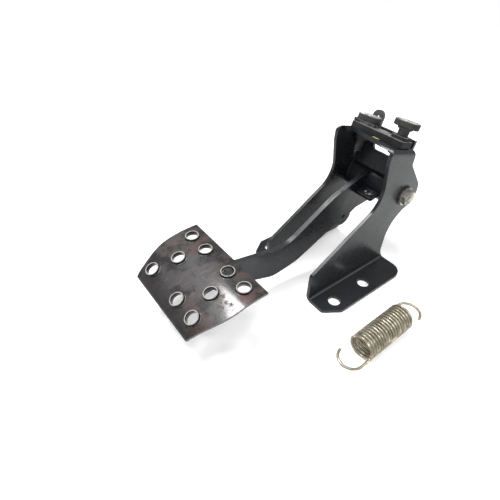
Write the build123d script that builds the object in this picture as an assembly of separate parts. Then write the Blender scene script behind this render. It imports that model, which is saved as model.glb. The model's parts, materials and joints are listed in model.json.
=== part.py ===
from build123d import *
import os
from math import acos, atan2, cos, degrees, hypot, pi, radians, sin, sqrt, tan

os.makedirs("parts", exist_ok=True)

# Rear brake pedal on a folded bracket, in millimetres.
# The origin is the centre of the four foot holes, on the surface the bracket is bolted to.
# +Z is up, X runs along the pedal's pivot, and the pedal pad points towards -Y.

# Folded bracket
sheet = 3.0
bracket_width = 60.0
fold_radius = 3.0
foot_width = 27.0
foot_front = -36.5
foot_rear = 63.5
foot_hole_diameter = 11.0
foot_hole_spacing = 90.0
foot_hole_pitch = 38.5
foot_corner_radius = 12.0
foot_small_radius = 4.0
foot_chamfer_out = 10.0
foot_chamfer_back = 15.0
cheek_front_height = 29.5
cheek_rear = 59.6
cheek_slope = 31.5
throat_radius = 24.0
throat_back = 39.0
brow_radius = 12.0
cheek_top_front = 32.5
cheek_top_radius = 6.0
lobe_radius = 15.5
lobe_behind_pivot = 5.0
lobe_below_pivot = 1.5
heel_radius = 30.0
heel_slope_height = 9.0
heel_foot_radius = 8.0

# Bridge, the top of the folded bracket, which falls towards the rear
bridge_tilt = 16.0
bridge_y = 53.0
bridge_rise = 49.2
bridge_rear = 15.3
bridge_back_drop = 14.0
bridge_lip_drop = 14.0
mouth_left = 7.0
mouth_right = 21.0
mouth_corner_radius = 4.0
crown_corner_radius = 7.0

# Pivot
pivot_y = 70.0
pivot_z = 72.0
bolt_diameter = 8.0
bolt_hole_clearance = 0.15
bolt_head_flats = 13.0
bolt_head_height = 5.3
bolt_end_proud = 0.8
nut_height = 4.0
washer_diameter = 17.0
washer_thickness = 1.2
spacing_washer_diameter = 18.5
spacing_washer_thickness = 1.4
sleeve_diameter = 14.0
running_clearance = 0.05
hub_diameter = 29.0
hub_bore = 20.0
bush_flange = 1.5
bush_depth = 12.0
side_play = 0.25
fastener_chamfer = 0.7

# Pedal arm, its corners measured from the pivot: towards the rear, then up
arm_thickness = 4.5
arm_offset = -6.0
arm_eye_radius = 22.5
arm_saddle = (-107.5, -32.5)
arm_saddle_radius = 38.0
arm_shoulder = (-53.5, -0.7)
arm_shoulder_radius = 60.0
arm_throat = 14.0
arm_nose_length = 45.0
arm_nose_radius = 5.0
arm_nose_lean = 1.5
arm_chin_level = -40.2
arm_chin = (-181.5, -38.8)
arm_chin_radius = 14.0
arm_belly_front = (-120.0, -60.2)
arm_belly_front_radius = 22.0
arm_belly_rear = (-92.0, -56.0)
arm_belly_rear_radius = 40.0
arm_rise = (-47.5, -35.2)
arm_neck = (-19.5, -24.5)
arm_neck_radius = 6.0
ear_radius = 9.7
ear_centre = (-35.5, -28.7)
ear_hole_diameter = 4.2
gusset_width = 17.25
gusset_reach = 10.5
gusset_thickness = 3.0
gusset_tilt = 11.0
gusset_drop = 0.5
gusset_corner_radius = 2.0
hub_weld = 2.0
hub_weld_front_turn = 65.0
hub_weld_rear_turn = 60.0

# Pedal pad, its rear edge measured from the pivot
pad_thickness = 2.0
pad_width = 100.5
pad_length = 69.5
pad_sag = 4.5
pad_rear_back = -161.5
pad_rear_up = -20.0
pad_slope = 14.5
pad_offset = -12.9
pad_side_straight = 36.0
pad_side_radius = 60.0
pad_front_width = 77.0
pad_lip_length = 5.5
pad_lip_radius = 8.0
pad_lip_angle = 30.0
pad_hole = 10.0
rim_wall = 0.9
rim_height = 2.3
rim_fillet = 0.8
pad_weld = 2.0
pad_weld_length = 12.0

# Clamp strip, screws and spring plate on the bridge, measured along its slope
strip_left_margin = 5.5
strip_right_margin = 2.5
strip_width = 16.0
strip_thickness = 5.0
strip_corner_radius = 1.0
strip_back = -0.5
strip_pin_hole = 2.6
strip_pin_hole_place = (5.2, 4.5)
screw_back = 1.5
left_screw_inset = 14.5
right_screw_inset = 11.0
screw_diameter = 6.0
screw_shoulder = 9.0
screw_head_length = 21.0
screw_head_width = 11.0
screw_head_height = 5.5
screw_head_round = 1.6
screw_head_turn = 15.0
screw_slot_length = 6.5
screw_slot_width = 1.6
screw_slot_depth = 2.1
screw_dish_radius = 14.0
screw_dish_depth = 0.7
screw_flare = 2.0
screw_length = 26.0
raised_screw_gap = 7.0
screw_hole_clearance = 0.2
screw_nut_flats = 10.0
screw_nut_height = 5.0
hexagon_turn = 30.0
tab_washer_width = 12.5
left_tab_washer_length = 22.0
left_tab_washer_shift = -0.5
left_tab_washer_turn = 5.0
right_tab_washer_length = 13.5
tab_washer_thickness = 2.5
tab_washer_radius = 2.0
spring_plate_margin = 5.0
spring_plate_thickness = 3.0
spring_plate_drop = 30.5
spring_plate_rise = 5.4
window_width = 21.0
window_bottom = 14.5
window_top = 5.5
window_radius = 3.0
spring_ear_width = 11.0
spring_ear_height = 17.5
spring_ear_inset = 7.5
spring_hole_diameter = 3.0
spring_hole_depth = 6.0
plate_corner_radius = 4.0

# Return spring, unhooked and laid down beside the right foot
spring_wire = 2.3
spring_diameter = 22.5
spring_turns = 17.5
spring_gap = 0.65
hook_straight = 8.0
hook_sweep = 175.0
spring_x = 95.0
spring_y = -18.8
spring_twist = 1.4

# Sizes that follow from those above
half_width = bracket_width / 2
inner_half = half_width - sheet
foot_edge = half_width + foot_width
outer_fold = fold_radius + sheet
hub_radius = hub_diameter / 2
hub_length = bracket_width - 2 * (sheet + bush_flange + side_play)
bridge_z = pivot_z + bridge_rise
tilt = radians(bridge_tilt)
shoulder_length = strip_thickness + tab_washer_thickness
left_screw_x = left_screw_inset - half_width
right_screw_x = half_width - right_screw_inset
strip_length = bracket_width - strip_left_margin - strip_right_margin
strip_offset = (strip_left_margin - strip_right_margin) / 2
spring_plate_width = bracket_width - 2 * spring_plate_margin
spring_ear_x = spring_ear_inset - spring_plate_width / 2

# Frame of the bridge's upper surface: X across, Y down its slope, Z square to it
on_bridge = Location((0, bridge_y, bridge_z), (-bridge_tilt, 0, 0))
on_pivot = Pos(0, pivot_y, pivot_z)


def hexagon_prism(across_flats, height, turn=0.0):
    """Hexagonal block standing on the XY plane, with two flats facing Y."""
    return extrude(RegularPolygon(across_flats / 2, 6, major_radius=False, rotation=turn), height)


def ring(outer_diameter, inner_diameter, height):
    """Plain washer or tube standing on the XY plane."""
    return extrude(Circle(outer_diameter / 2) - Circle(inner_diameter / 2), height)


def along_pivot(x):
    """Place on the pivot line at x, with local +Z pointing along +X."""
    return Location((x, pivot_y, pivot_z), (0, 90, 0))


def bridge_section_plane(back):
    """Plane square to the bridge's slope, facing the front, at a distance down the slope."""
    origin = (0, bridge_y + back * cos(tilt), bridge_z - back * sin(tilt))
    return Plane(origin, x_dir=(1, 0, 0), z_dir=(0, -cos(tilt), sin(tilt)))


def bridge_top(y):
    """Height of the bridge's upper surface at y."""
    return bridge_z - (y - bridge_y) * tan(tilt)


def tangent_on_circle(point, centre, radius, side):
    """Point where the line from an outside point touches a circle."""
    away = hypot(point[0] - centre[0], point[1] - centre[1])
    turn = atan2(point[1] - centre[1], point[0] - centre[0]) + side * acos(radius / away)
    return (centre[0] + radius * cos(turn), centre[1] + radius * sin(turn))


def cheek_outline(rear_corner):
    """Side view of the bracket, a hair over the bridge: sloped front, throat, pivot lobe, hollow heel."""
    over_bridge = 0.02
    throat_height = cheek_front_height + (throat_back - foot_front) * tan(radians(cheek_slope))
    top_rear = bridge_y + bridge_rear * cos(tilt)
    lobe = (pivot_y + lobe_behind_pivot, pivot_z - lobe_below_pivot)
    bridge_back = (top_rear, bridge_top(top_rear) - bridge_back_drop)
    lobe_start = tangent_on_circle(bridge_back, lobe, lobe_radius, -1)
    heel = (cheek_rear + heel_radius, 0)
    heel = (heel[0], lobe[1] - sqrt((lobe_radius + heel_radius) ** 2 - (heel[0] - lobe[0]) ** 2))
    reach = lobe_radius / (lobe_radius + heel_radius)
    lobe_end = (lobe[0] + (heel[0] - lobe[0]) * reach, lobe[1] + (heel[1] - lobe[1]) * reach)
    lobe_start_turn = atan2(lobe_start[1] - lobe[1], lobe_start[0] - lobe[0])
    lobe_end_turn = atan2(lobe_end[1] - lobe[1], lobe_end[0] - lobe[0])
    lobe_turn = (lobe_start_turn + lobe_end_turn) / 2
    lobe_far = (lobe[0] + lobe_radius * cos(lobe_turn), lobe[1] + lobe_radius * sin(lobe_turn))
    heel_turn = (pi + atan2(lobe[1] - heel[1], lobe[0] - heel[0])) / 2
    heel_mid = (heel[0] + heel_radius * cos(heel_turn), heel[1] + heel_radius * sin(heel_turn))
    with BuildSketch(Plane.YZ) as side:
        with BuildLine():
            front = FilletPolyline(
                lobe_start,
                bridge_back,
                (top_rear, bridge_top(top_rear) + over_bridge),
                (cheek_top_front, bridge_top(cheek_top_front) + over_bridge),
                (cheek_top_front, bridge_top(cheek_top_front) - bridge_lip_drop),
                (throat_back, throat_height),
                (foot_front, cheek_front_height),
                (foot_front, 0),
                (foot_rear, 0),
                (foot_rear, sheet),
                (cheek_rear, sheet + heel_slope_height),
                (cheek_rear, heel[1]),
                radius=[fold_radius, rear_corner, cheek_top_radius, brow_radius, throat_radius]
                + [fold_radius, 0, 0, sheet / 3, heel_foot_radius],
            )
            ThreePointArc(front @ 1, heel_mid, lobe_end)
            ThreePointArc(lobe_end, lobe_far, lobe_start)
        make_face()
    return side.sketch


def foot_outline():
    """Plan of one foot flange, chamfered in front and rounded behind."""
    return Polyline(
        (inner_half, foot_front),
        (foot_edge - foot_chamfer_out, foot_front),
        (foot_edge, foot_front + foot_chamfer_back),
        (foot_edge, foot_rear),
        (inner_half, foot_rear),
        (inner_half, foot_front),
    )


def folded_strip(plane, corners, reach):
    """Sheet folded along a line of corners and run straight through both sides of a plane."""
    with BuildSketch(plane) as section:
        with BuildLine() as folded:
            FilletPolyline(*corners, radius=fold_radius + sheet / 2)
        trace(folded.line, sheet)
    return extrude(section.sketch, reach, both=True)


def mounting_bracket():
    """One sheet folded into a bridge, two cheeks and two outward feet."""
    mid = half_width - sheet / 2
    reach = pivot_y + 2 * lobe_radius
    leg_top = pivot_z + lobe_radius
    blank = folded_strip(
        bridge_section_plane(0),
        [(-mid, -bridge_rise), (-mid, -sheet / 2), (mid, -sheet / 2), (mid, -bridge_rise)],
        reach,
    )
    for side in (-1, 1):
        corners = [(side * foot_edge, sheet / 2), (side * mid, sheet / 2), (side * mid, leg_top)]
        blank += folded_strip(Plane.XZ, corners, reach)
    square_cornered = cheek_outline(0)
    body = blank & extrude(square_cornered, foot_edge, both=True)

    foot = make_face(foot_outline())
    foot = fillet(foot.vertices().sort_by(Axis.X)[-2:].sort_by(Axis.Y)[-1:], foot_corner_radius)
    foot = fillet(foot.vertices().filter_by(lambda v: v.Y < 0 and v.X > half_width + 1), foot_small_radius)
    margin = 2 * foot_width
    scrap = Pos((half_width + fold_radius + margin / 2, 0)) * Rectangle(margin, 2 * reach) - foot
    scrap_block = Pos(0, 0, -sheet) * extrude(scrap, 3 * sheet)
    body -= scrap_block
    body -= mirror(scrap_block, Plane.YZ)

    mouth = make_face(
        Polyline(
            (-inner_half, -mouth_left),
            (inner_half, -mouth_right),
            (inner_half, -reach),
            (-inner_half, -reach),
            close=True,
        )
    )
    mouth = fillet(mouth.vertices().sort_by(Axis.Y)[-2:], mouth_corner_radius)
    body -= on_bridge * Pos(0, 0, -outer_fold - 2) * extrude(mouth, 2 * outer_fold)

    plate_room = spring_plate_width + 2 * screw_hole_clearance
    body -= on_bridge * Pos(0, bridge_rear, 0) * Box(
        plate_room, 2 * outer_fold, 2 * outer_fold, align=(Align.CENTER, Align.MIN, Align.CENTER)
    )
    corner = extrude(square_cornered - cheek_outline(crown_corner_radius), outer_fold)
    body -= Pos(half_width - outer_fold, 0, 0) * corner
    body -= Pos(-half_width, 0, 0) * corner

    hole = Cylinder(foot_hole_diameter / 2, 4 * sheet)
    for x in (-foot_hole_spacing / 2, foot_hole_spacing / 2):
        for y in (-foot_hole_pitch / 2, foot_hole_pitch / 2):
            body -= Pos(x, y, 0) * hole
    bolt_hole = Cylinder(bolt_diameter / 2 + bolt_hole_clearance, 2 * bracket_width)
    body -= along_pivot(0) * bolt_hole
    screw_hole = Cylinder(screw_diameter / 2 + screw_hole_clearance, 4 * sheet)
    for x in screw_places():
        body -= on_bridge * Pos(x, screw_back, 0) * screw_hole
    return body


def screw_places():
    """Where the left and the right screw stand across the bridge."""
    return [left_screw_x, right_screw_x]


def spring_plate():
    """Stamped plate square to the bridge, behind it, with a window and an ear for the return spring."""
    ear_round = spring_ear_width / 2
    height = spring_plate_drop + spring_plate_rise
    plate = Pos(0, spring_plate_rise - height / 2) * Rectangle(spring_plate_width, height)
    plate = fillet(plate.vertices().sort_by(Axis.Y)[:2], plate_corner_radius)
    ear = Pos(spring_ear_x, (spring_ear_height - ear_round) / 2) * Rectangle(
        spring_ear_width, spring_ear_height - ear_round
    )
    ear += Pos(spring_ear_x, spring_ear_height - ear_round) * Circle(ear_round)
    window = Pos(0, -(window_bottom + window_top) / 2) * Rectangle(window_width, window_bottom - window_top)
    window = fillet(window.vertices(), window_radius)
    face = plate + ear - window
    face -= Pos(spring_ear_x, spring_ear_height - spring_hole_depth) * Circle(spring_hole_diameter / 2)
    placed = bridge_section_plane(bridge_rear + spring_plate_thickness)
    return extrude(placed * face, spring_plate_thickness)


def clamp_strip():
    """Flat bar across the bridge, held by two screws."""
    bar = Rectangle(strip_length, strip_width)
    bar = fillet(bar.vertices(), strip_corner_radius)
    for x in screw_places():
        place = Pos(x - strip_offset, screw_back - strip_back)
        bar -= place * Circle(screw_shoulder / 2 + screw_hole_clearance)
    bar -= Pos(*strip_pin_hole_place) * Circle(strip_pin_hole / 2)
    return on_bridge * Pos(strip_offset, strip_back, 0) * extrude(bar, strip_thickness)


def tab_washer(length, overhang, turn):
    """Rectangular lock washer under a screw head."""
    bar = Pos(overhang, 0) * Rectangle(length, tab_washer_width)
    bar = Rot(0, 0, turn) * fillet(bar.vertices(), tab_washer_radius)
    bar -= Circle(screw_shoulder / 2 + screw_hole_clearance)
    return extrude(bar, tab_washer_thickness)


def clamp_screw(gap):
    """Shouldered screw with an oblong head, dished and slotted; gap is the room under its head."""
    hang = (Align.CENTER, Align.CENTER, Align.MAX)
    shank = Cylinder(screw_diameter / 2, screw_length, align=hang)
    shank = chamfer(shank.faces().sort_by(Axis.Z)[0].edges(), fastener_chamfer)
    shank += Cylinder(screw_shoulder / 2, shoulder_length, align=hang)
    head = extrude(SlotOverall(screw_head_length, screw_head_width), screw_head_height)
    head = fillet(head.faces().sort_by(Axis.Z)[-1].edges(), screw_head_round)
    head = fillet(head.faces().sort_by(Axis.Z)[0].edges(), screw_head_round / 2)
    head -= Pos(0, 0, screw_head_height + screw_dish_radius - screw_dish_depth) * Sphere(screw_dish_radius)
    head -= Pos(0, 0, screw_head_height) * Box(screw_slot_length, screw_slot_width, 2 * screw_slot_depth)
    screw = shank + Rot(0, 0, screw_head_turn) * head
    flare = screw_flare
    if gap > flare:
        with BuildSketch(Plane.XZ) as profile:
            with BuildLine():
                Polyline((0, -flare), (0, 0), (screw_shoulder / 2 + flare, 0))
                RadiusArc((screw_shoulder / 2 + flare, 0), (screw_shoulder / 2, -flare), flare)
                Line((screw_shoulder / 2, -flare), (0, -flare))
            make_face()
        screw += revolve(profile.sketch, Axis.Z) & Rot(0, 0, screw_head_turn) * Box(
            screw_head_length, screw_head_width - screw_head_round, 4 * flare
        )
    return Pos(0, 0, gap) * screw


def bridge_nuts():
    """Two hexagon nuts under the bridge, one on each screw."""
    nut = hexagon_prism(screw_nut_flats, screw_nut_height, hexagon_turn)
    nut = chamfer(nut.faces().sort_by(Axis.Z)[0].edges(), fastener_chamfer)
    nut -= Cylinder(screw_diameter / 2, 4 * screw_nut_height)
    nuts = [on_bridge * Pos(x, screw_back, -sheet - screw_nut_height) * nut for x in screw_places()]
    return Compound(children=nuts)


def pivot_bolt():
    """Hexagon bolt through both cheeks, its thread end standing out of the nut on the right."""
    head_start = -half_width - washer_thickness
    stack = spacing_washer_thickness + washer_thickness + nut_height
    length = half_width + stack + bolt_end_proud - head_start
    shank = Cylinder(bolt_diameter / 2, length, align=(Align.CENTER, Align.CENTER, Align.MIN))
    shank = chamfer(shank.faces().sort_by(Axis.Z)[-1].edges(), fastener_chamfer)
    head = hexagon_prism(bolt_head_flats, bolt_head_height, hexagon_turn)
    head = chamfer(head.faces().sort_by(Axis.Z)[0].edges(), fastener_chamfer)
    return along_pivot(head_start) * (shank + Pos(0, 0, -bolt_head_height) * head)


def pivot_nut():
    """Hexagon nut on the right end of the pivot bolt."""
    nut = hexagon_prism(bolt_head_flats, nut_height, 12)
    nut = chamfer(nut.faces().sort_by(Axis.Z)[-1].edges(), fastener_chamfer)
    nut -= Cylinder(bolt_diameter / 2, 4 * nut_height)
    return along_pivot(half_width + spacing_washer_thickness + washer_thickness) * nut


def pivot_bush(side):
    """Flanged plain bush pressed into one end of the hub."""
    inside = hub_length / 2
    with BuildSketch(Plane.XZ) as profile:
        with BuildLine():
            Polyline(
                (sleeve_diameter / 2 + running_clearance, inside + bush_flange),
                (hub_radius - 1, inside + bush_flange),
                (hub_radius - 1, inside),
                (hub_bore / 2, inside),
                (hub_bore / 2, inside - bush_depth),
                (sleeve_diameter / 2 + running_clearance, inside - bush_depth),
                close=True,
            )
        make_face()
    bush = revolve(profile.sketch, Axis.Z)
    if side < 0:
        bush = mirror(bush, Plane.XY)
    return along_pivot(0) * bush


def pad_crown():
    """Centre and radius of the pad's upper surface, seen from the pivot, and its rear and front angles."""
    crown_length = pad_length - pad_lip_length
    slope = radians(pad_slope)
    rear = Vector(pad_rear_back, pad_rear_up)
    front = rear + Vector(-crown_length * cos(slope), -crown_length * sin(slope))
    crown_radius = (crown_length**2 / 4 + pad_sag**2) / (2 * pad_sag)
    middle = (rear + front) * 0.5
    normal = Vector(-sin(slope), cos(slope))
    centre = middle - normal * (crown_radius - pad_sag)
    rear_turn = atan2(rear.Y - centre.Y, rear.X - centre.X)
    front_turn = atan2(front.Y - centre.Y, front.X - centre.X)
    return centre, crown_radius, rear_turn, front_turn


def pad_profile(top, bottom):
    """Band of the pad's side view between two depths under its upper surface."""
    centre, crown_radius, rear_turn, front_turn = pad_crown()
    mid_turn = (rear_turn + front_turn) / 2
    lip_inside = pad_lip_radius
    lip_turn = radians(pad_lip_angle)
    lip_centre = Vector(
        centre.X + (crown_radius - lip_inside) * cos(front_turn),
        centre.Y + (crown_radius - lip_inside) * sin(front_turn),
    )

    def on(middle, radius, turn):
        return (middle.X + radius * cos(turn), middle.Y + radius * sin(turn))

    outer = crown_radius - top
    inner = crown_radius - bottom
    lip_outer = lip_inside - top
    lip_inner = lip_inside - bottom
    with BuildSketch(Plane.YZ) as profile:
        with BuildLine():
            ThreePointArc(on(centre, outer, rear_turn), on(centre, outer, mid_turn), on(centre, outer, front_turn))
            ThreePointArc(
                on(centre, outer, front_turn),
                on(lip_centre, lip_outer, front_turn + lip_turn / 2),
                on(lip_centre, lip_outer, front_turn + lip_turn),
            )
            Line(on(lip_centre, lip_outer, front_turn + lip_turn), on(lip_centre, lip_inner, front_turn + lip_turn))
            ThreePointArc(
                on(lip_centre, lip_inner, front_turn + lip_turn),
                on(lip_centre, lip_inner, front_turn + lip_turn / 2),
                on(centre, inner, front_turn),
            )
            ThreePointArc(on(centre, inner, front_turn), on(centre, inner, mid_turn), on(centre, inner, rear_turn))
            Line(on(centre, inner, rear_turn), on(centre, outer, rear_turn))
        make_face()
    return profile.sketch


def pad_outline():
    """Plan of the pad: straight sides that bend in towards a narrower front edge."""
    half = pad_width / 2
    front_half = pad_front_width / 2
    margin = 5.0
    taper = (half - front_half) / (pad_length - pad_side_straight)
    far_half = front_half - margin * taper
    corners = [
        (half, margin),
        (half, -pad_side_straight),
        (far_half, -pad_length - margin),
        (-far_half, -pad_length - margin),
        (-half, -pad_side_straight),
        (-half, margin),
    ]
    with BuildSketch() as plan:
        with BuildLine():
            edge = FilletPolyline(*corners, radius=[pad_side_radius, 0, 0, pad_side_radius])
            Line(edge @ 1, edge @ 0)
        make_face()
    return plan.sketch


def pad_holes():
    """Distance from the pad's rear edge and from its middle for each of the nine holes."""
    rows = {12.2: (-37.3, -16.2, 15.8, 36.6), 33.4: (-23.9, 23.9), 54.8: (-31.5, 8.4, 30.2)}
    return [(x, back) for back, places in rows.items() for x in places]


def extruded_rim():
    """Collar drawn up out of the sheet round one hole, on the sheet's upper surface."""
    inner = pad_hole / 2
    outer = inner + rim_wall
    sunk = pad_thickness / 2
    with BuildSketch(Plane.XZ) as profile:
        with BuildLine():
            Line((inner, -sunk), (outer + rim_fillet, -sunk))
            Line((outer + rim_fillet, -sunk), (outer + rim_fillet, 0))
            RadiusArc((outer + rim_fillet, 0), (outer, rim_fillet), rim_fillet)
            Line((outer, rim_fillet), (outer, rim_height - rim_wall / 3))
            RadiusArc((outer, rim_height - rim_wall / 3), (outer - rim_wall / 3, rim_height), -rim_wall / 3)
            Line((outer - rim_wall / 3, rim_height), (inner, rim_height))
            Line((inner, rim_height), (inner, -sunk))
        make_face()
    return revolve(profile.sketch, Axis.Z)


def pedal_pad():
    """Crowned tread plate with nine holes, each with a rim drawn up round it."""
    centre, crown_radius, rear_turn, _ = pad_crown()
    band = extrude(pad_profile(0, pad_thickness), pad_width, both=True)
    chord = Plane(
        (pad_offset, pad_rear_back, pad_rear_up),
        x_dir=(1, 0, 0),
        z_dir=(0, -sin(radians(pad_slope)), cos(radians(pad_slope))),
    )
    plan = extrude(chord * pad_outline(), 3 * pad_length, both=True)
    plate = Pos(pad_offset, 0, 0) * band & plan

    rim = extruded_rim()
    drill = Cylinder(pad_hole / 2, 6 * pad_thickness)
    rims = []
    drills = []
    for x, back in pad_holes():
        turn = rear_turn + back / crown_radius
        seat = Plane(
            (pad_offset + x, centre.X + crown_radius * cos(turn), centre.Y + crown_radius * sin(turn)),
            x_dir=(1, 0, 0),
            z_dir=(0, cos(turn), sin(turn)),
        )
        rims.append(seat * rim)
        drills.append(seat * drill)
    return plate + rims - drills


def arm_outline():
    """Side view of the flat bar round the pivot: saddle, spring ear, belly and nose under the pad."""
    centre, crown_radius, rear_turn, _ = pad_crown()
    under = crown_radius - pad_thickness
    nose_turn = rear_turn + arm_nose_length / crown_radius
    nose_mid = (rear_turn + nose_turn) / 2
    start = (centre.X + under * cos(rear_turn), centre.Y + under * sin(rear_turn))
    middle = (centre.X + under * cos(nose_mid), centre.Y + under * sin(nose_mid))
    nose = (centre.X + under * cos(nose_turn), centre.Y + under * sin(nose_turn))
    throat = (-hub_radius / 2, arm_throat)
    ear_root = ear_radius - 0.7
    with BuildSketch(Plane.YZ) as side:
        with BuildLine():
            FilletPolyline(start, arm_saddle, arm_shoulder, throat, radius=[arm_saddle_radius, arm_shoulder_radius])
            ThreePointArc(start, middle, nose)
            FilletPolyline(
                nose,
                (nose[0] - arm_nose_lean, arm_chin_level),
                arm_chin,
                arm_belly_front,
                arm_belly_rear,
                arm_rise,
                (ear_centre[0], ear_centre[1] - ear_root / 2),
                (ear_centre[0] + ear_root, ear_centre[1]),
                arm_neck,
                (0, -arm_eye_radius),
                (0, 0),
                throat,
                radius=[arm_nose_radius, arm_chin_radius, arm_belly_front_radius, arm_belly_rear_radius]
                + [0, 0, 0, arm_neck_radius, 0, 0],
            )
        make_face()
    lobe = Pos(*ear_centre) * Circle(ear_radius)
    eye = Circle(arm_eye_radius)
    eye &= Pos(arm_eye_radius / 2, -arm_eye_radius / 2) * Rectangle(arm_eye_radius, arm_eye_radius)
    face = side.sketch + Plane.YZ * lobe + Plane.YZ * eye
    face -= Plane.YZ * Circle(hub_radius)
    face -= Plane.YZ * Pos(*ear_centre) * Circle(ear_hole_diameter / 2)
    return face


def pedal_arm():
    """Flat bar on edge that carries the pad."""
    bar = extrude(arm_outline(), arm_thickness / 2, both=True)
    return Pos(arm_offset, 0, 0) * bar


def hub_gusset():
    """Small plate welded into the corner between the arm and the hub."""
    start_x = arm_offset + arm_thickness / 2
    plate = Box(
        gusset_width,
        hub_radius + gusset_reach,
        gusset_thickness,
        align=(Align.MIN, Align.MAX, Align.CENTER),
    )
    plate = fillet(plate.edges().filter_by(Axis.Z).sort_by(Axis.Y)[:2].sort_by(Axis.X)[-1:], gusset_corner_radius)
    plate = Location((start_x, pivot_y, pivot_z - gusset_drop), (gusset_tilt, 0, 0)) * plate
    plate -= along_pivot(0) * Cylinder(hub_radius, 2 * bracket_width)
    return plate


def pad_welds():
    """Four short weld fillets that join the pad's underside to the sides of the arm."""
    centre, crown_radius, rear_turn, _ = pad_crown()
    under = crown_radius - pad_thickness
    crown_axis = Axis((0, centre.X, centre.Y), (1, 0, 0))
    beads = []
    for side in (-1, 1):
        edge = arm_offset + side * arm_thickness / 2
        for begin in (pad_weld, pad_weld + 2 * pad_weld_length):
            turn = rear_turn + begin / crown_radius
            seat = Plane(
                (edge, centre.X + under * cos(turn), centre.Y + under * sin(turn)),
                x_dir=(side, 0, 0),
                z_dir=(0, -sin(turn), cos(turn)),
            )
            corner = Polyline((0, 0), (pad_weld, 0), (0, -side * pad_weld), (0, 0))
            triangle = seat * make_face(corner)
            beads.append(revolve(triangle, crown_axis, degrees(pad_weld_length / crown_radius)))
    return Compound(children=beads)


def hub_welds():
    """Weld bead round the underside of the hub on both faces of the arm."""
    beads = []
    for side in (-1, 1):
        edge = arm_offset + side * arm_thickness / 2
        with BuildSketch(Plane.XZ) as triangle:
            with BuildLine():
                Polyline((hub_radius, 0), (hub_radius + hub_weld, 0), (hub_radius, hub_weld), (hub_radius, 0))
            make_face()
        bead = revolve(triangle.sketch, Axis.Z, hub_weld_front_turn + hub_weld_rear_turn)
        bead = Rot(0, 0, -hub_weld_front_turn) * bead
        if side < 0:
            bead = mirror(bead, Plane.XY)
        beads.append(along_pivot(edge) * bead)
    return Compound(children=beads)


def spring_hook(coil_radius, bend, rise):
    """Edges of one hook, from the coil's end at the origin plane up along +Z and round."""
    turned = pi / 2 - rise
    centre_y = -bend * sin(rise)
    centre_z = bend * cos(rise)

    def on_bend(angle):
        return (
            coil_radius,
            centre_y * (1 - cos(angle)) + centre_z * sin(angle),
            centre_z * (1 - cos(angle)) - centre_y * sin(angle),
        )

    _, hook_y, bend_top = on_bend(turned)
    loop_z = bend_top + hook_straight

    def on_loop(angle):
        return (coil_radius * cos(angle), hook_y, loop_z + coil_radius * sin(angle))

    end = radians(hook_sweep)
    lift = ThreePointArc(on_bend(0), on_bend(turned / 2), on_bend(turned))
    leg = Line(on_bend(turned), on_loop(0))
    loop = ThreePointArc(on_loop(0), on_loop(end / 2), on_loop(end))
    return [lift, leg, loop]


def return_spring():
    """Close-wound extension spring with a full hook on each end, lying on its side."""
    coil_radius = (spring_diameter - spring_wire) / 2
    pitch = spring_wire + spring_gap
    body = pitch * spring_turns
    bend = spring_wire * 1.15
    rise = atan2(pitch, 2 * pi * coil_radius)
    coil = Helix(pitch, body, coil_radius)
    hook = spring_hook(coil_radius, bend, rise)
    upper = [Pos(0, 0, body) * Rot(0, 0, 360 * spring_turns) * edge for edge in hook]
    lower = [Rot(180, 0, 0) * edge for edge in reversed(hook)]
    path = Wire(lower + [coil] + upper)
    section = Plane(path @ 0, z_dir=path % 0) * Circle(spring_wire / 2)
    wire = sweep(section, path=path)
    flat = Pos(0, 0, -body / 2) * mirror(wire, Plane.XZ)
    lying = Location((spring_x, spring_y, spring_diameter / 2), (0, 0, spring_twist)) * Rot(-90, 0, 0)
    return lying * flat


def placed_parts():
    """Every part of the pedal in its place, by the name of its file."""
    left_screw, right_screw = [on_bridge * Pos(x, screw_back, strip_thickness) for x in screw_places()]
    above_washer = Pos(0, 0, tab_washer_thickness)
    hub = ring(hub_diameter, hub_bore, hub_length)
    bolt_hole = bolt_diameter + 2 * bolt_hole_clearance
    sleeve = ring(sleeve_diameter, bolt_hole, 2 * inner_half)
    washer = ring(washer_diameter, bolt_hole, washer_thickness)
    spacing_washer = ring(spacing_washer_diameter, bolt_hole, spacing_washer_thickness)
    return {
        "mounting_bracket": mounting_bracket(),
        "spring_plate": spring_plate(),
        "clamp_strip": clamp_strip(),
        "left_tab_washer": left_screw * tab_washer(
            left_tab_washer_length, left_tab_washer_shift, left_tab_washer_turn
        ),
        "right_tab_washer": right_screw * tab_washer(right_tab_washer_length, 0, 0),
        "left_clamp_screw": left_screw * above_washer * clamp_screw(0),
        "right_clamp_screw": right_screw * above_washer * clamp_screw(raised_screw_gap),
        "bridge_nuts": bridge_nuts(),
        "pivot_bolt": pivot_bolt(),
        "pivot_sleeve": along_pivot(-inner_half) * sleeve,
        "bolt_head_washer": along_pivot(-half_width - washer_thickness) * washer,
        "spacing_washer": along_pivot(half_width) * spacing_washer,
        "nut_washer": along_pivot(half_width + spacing_washer_thickness) * washer,
        "pivot_nut": pivot_nut(),
        "pedal_hub": along_pivot(-hub_length / 2) * hub,
        "left_pivot_bush": pivot_bush(-1),
        "right_pivot_bush": pivot_bush(1),
        "pedal_arm": on_pivot * pedal_arm(),
        "hub_gusset": hub_gusset(),
        "hub_welds": hub_welds(),
        "pedal_pad": on_pivot * pedal_pad(),
        "pad_welds": on_pivot * pad_welds(),
        "return_spring": return_spring(),
    }


for name, solid in placed_parts().items():
    export_step(solid, f"parts/{name}.step")
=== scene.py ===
# %% [markdown]
# Rear brake pedal.
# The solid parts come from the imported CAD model, which this script never moves or reshapes.
# Here they get their paint, zinc, wear and dirt, and the small rough things that a CAD model leaves
# smooth: weld beads, tack welds and screw threads.

# %% Load the frame
import json
import math

import bmesh
import bpy
from mathutils import Matrix, Vector


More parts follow.
